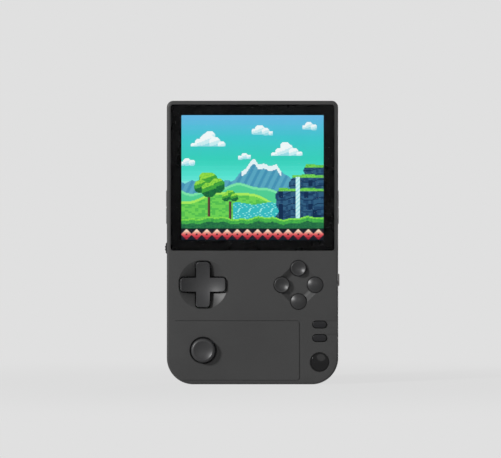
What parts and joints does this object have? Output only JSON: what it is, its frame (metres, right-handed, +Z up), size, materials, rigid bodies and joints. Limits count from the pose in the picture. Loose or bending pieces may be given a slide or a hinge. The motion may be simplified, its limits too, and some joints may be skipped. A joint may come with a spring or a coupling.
{
  "type": "handheld game console",
  "caption": "Upright handheld game console: flush glass display over a four-way pad, four round buttons, a thumbstick, small buttons, a side volume wheel and rear shoulder buttons.",
  "frame": {"origin": "middle of the flat bottom edge, at half the body's depth", "axes": "+Z up the height towards the display, front with the controls towards -Y, +X to the right seen from the front"},
  "size_m": [0.0829, 0.0238, 0.134],
  "materials": {
    "shell": "fine matt moulded plastic",
    "control": "matt moulded plastic",
    "small_control": "matt moulded plastic",
    "gloss_control": "glossy moulded plastic",
    "stick_rubber": "soft-touch rubber",
    "clear_glass": "clear polished",
    "black_print": "flat black print",
    "display": "lit display",
    "steel": "plain pressed steel",
    "tray": "plain sheet",
    "board": "green solder mask",
    "chip": "matt black",
    "pad_grey": "soft grey pad",
    "foam": "closed-cell foam",
    "ribbon": "amber film",
    "nylon": "natural nylon",
    "membrane": "silicone rubber",
    "cell": "foil pouch",
    "speaker": "matt black",
    "gimbal": "matt nylon",
    "screw": "black steel"
  },
  "bodies": {
    "body": {"front_shell": "shell", "rear_shell": "shell", "screen_glass": "clear_glass", "screen_mask": "black_print", "lcd_panel": "display", "lcd_backlight": "tray", "lcd_foam": "foam", "lcd_ribbon": "ribbon", "ribbon_connector": "nylon", "main_board": "board", "processor": "chip", "thermal_pad": "pad_grey", "processor_shield": "steel", "battery_cell": "cell", "battery_pad": "foam", "speaker": "speaker", "speaker_gasket": "foam", "usb_port_bottom": "steel", "usb_port_top": "steel", "headphone_jack": "chip", "card_sockets": "steel", "pad_membrane": "membrane", "button_membrane": "membrane", "system_membrane": "membrane", "stick_housing": "gimbal", "stick_sensors": "chip", "volume_pot": "steel", "power_switch": "chip", "shoulder_pins": "steel", "shoulder_domes": "membrane", "shell_screws": "screw", "board_screws": "steel"},
    "pad_pivot": {"pad_pivot_ball": "nylon"},
    "pad": {"four_way_pad": "control"},
    "button_top": {"face_button_top": "control"},
    "button_left": {"face_button_left": "control"},
    "button_right": {"face_button_right": "control"},
    "button_bottom": {"face_button_bottom": "control"},
    "select": {"select_button": "small_control"},
    "start": {"start_button": "small_control"},
    "menu": {"menu_button": "gloss_control"},
    "stick_lower": {"stick_lower_yoke": "nylon", "stick_cross_pin": "steel"},
    "stick": {"stick_shaft": "nylon", "stick_cap": "stick_rubber"},
    "stick_upper": {"stick_upper_yoke": "steel"},
    "volume": {"volume_wheel": "small_control"},
    "power": {"power_button": "small_control"},
    "l1": {"shoulder_l1": "small_control"},
    "l2": {"shoulder_l2": "small_control"},
    "r1": {"shoulder_r1": "small_control"},
    "r2": {"shoulder_r2": "small_control"}
  },
  "joints": [
    {"name": "pad_tilt_updown", "type": "hinge", "parent": "body", "child": "pad_pivot", "pos_m": [-0.0234, -0.00513, 0.0471], "axis": [1, 0, 0], "range_deg": [-4, 4], "stiffness_Nm_per_rad": 0.02, "deforming": ["pad_membrane"]},
    {"name": "pad_tilt_side", "type": "hinge", "parent": "pad_pivot", "child": "pad", "pos_m": [-0.0234, -0.00513, 0.0471], "axis": [0, 0, 1], "range_deg": [-4, 4], "stiffness_Nm_per_rad": 0.02, "deforming": ["pad_membrane"]},
    {"name": "press_top", "type": "slide", "parent": "body", "child": "button_top", "axis": [0, 1, 0], "range_m": [0, 0.0009], "stiffness_N_per_m": 150, "deforming": ["button_membrane"]},
    {"name": "press_left", "type": "slide", "parent": "body", "child": "button_left", "axis": [0, 1, 0], "range_m": [0, 0.0009], "stiffness_N_per_m": 150, "deforming": ["button_membrane"]},
    {"name": "press_right", "type": "slide", "parent": "body", "child": "button_right", "axis": [0, 1, 0], "range_m": [0, 0.0009], "stiffness_N_per_m": 150, "deforming": ["button_membrane"]},
    {"name": "press_bottom", "type": "slide", "parent": "body", "child": "button_bottom", "axis": [0, 1, 0], "range_m": [0, 0.0009], "stiffness_N_per_m": 150, "deforming": ["button_membrane"]},
    {"name": "press_select", "type": "slide", "parent": "body", "child": "select", "axis": [0, 1, 0], "range_m": [0, 0.0007], "stiffness_N_per_m": 200, "deforming": ["system_membrane"]},
    {"name": "press_start", "type": "slide", "parent": "body", "child": "start", "axis": [0, 1, 0], "range_m": [0, 0.0007], "stiffness_N_per_m": 200, "deforming": ["system_membrane"]},
    {"name": "press_menu", "type": "slide", "parent": "body", "child": "menu", "axis": [0, 1, 0], "range_m": [0, 0.0007], "stiffness_N_per_m": 200, "deforming": ["system_membrane"]},
    {"name": "stick_tilt_updown", "type": "hinge", "parent": "body", "child": "stick_lower", "pos_m": [-0.0233, -0.005, 0.0161], "axis": [1, 0, 0], "range_deg": [-11, 11], "stiffness_Nm_per_rad": 0.03},
    {"name": "stick_tilt_side", "type": "hinge", "parent": "stick_lower", "child": "stick", "pos_m": [-0.0233, -0.005, 0.0161], "axis": [0, 0, 1], "range_deg": [-11, 11], "stiffness_Nm_per_rad": 0.03},
    {"name": "stick_upper_turn", "type": "hinge", "parent": "body", "child": "stick_upper", "pos_m": [-0.0233, -0.005, 0.0161], "axis": [0, 0, 1], "range_deg": [-11, 11]},
    {"name": "volume_turn", "type": "hinge", "parent": "body", "child": "volume", "pos_m": [-0.0355, -0.00085, 0.0643], "axis": [0, 1, 0], "range_deg": [-135, 135]},
    {"name": "press_power", "type": "slide", "parent": "body", "child": "power", "axis": [-1, 0, 0], "range_m": [0, 0.0005], "stiffness_N_per_m": 400},
    {"name": "press_r1", "type": "hinge", "parent": "body", "child": "r1", "pos_m": [0.0286, 0.0062, 0.0877], "axis": [0, 0, -1], "range_deg": [0, 3.5], "stiffness_Nm_per_rad": 0.05, "deforming": ["shoulder_domes"]},
    {"name": "press_r2", "type": "hinge", "parent": "body", "child": "r2", "pos_m": [0.0286, 0.0062, 0.0797], "axis": [0, 0, -1], "range_deg": [0, 3.5], "stiffness_Nm_per_rad": 0.05, "deforming": ["shoulder_domes"]},
    {"name": "press_l1", "type": "hinge", "parent": "body", "child": "l1", "pos_m": [-0.0286, 0.0062, 0.0877], "axis": [0, 0, 1], "range_deg": [0, 3.5], "stiffness_Nm_per_rad": 0.05, "deforming": ["shoulder_domes"]},
    {"name": "press_l2", "type": "hinge", "parent": "body", "child": "l2", "pos_m": [-0.0286, 0.0062, 0.0797], "axis": [0, 0, 1], "range_deg": [0, 3.5], "stiffness_Nm_per_rad": 0.05, "deforming": ["shoulder_domes"]}
  ],
  "couplings": [
    {"joint": "stick_upper_turn", "follows": "stick_tilt_side", "ratio": 1}
  ]
}
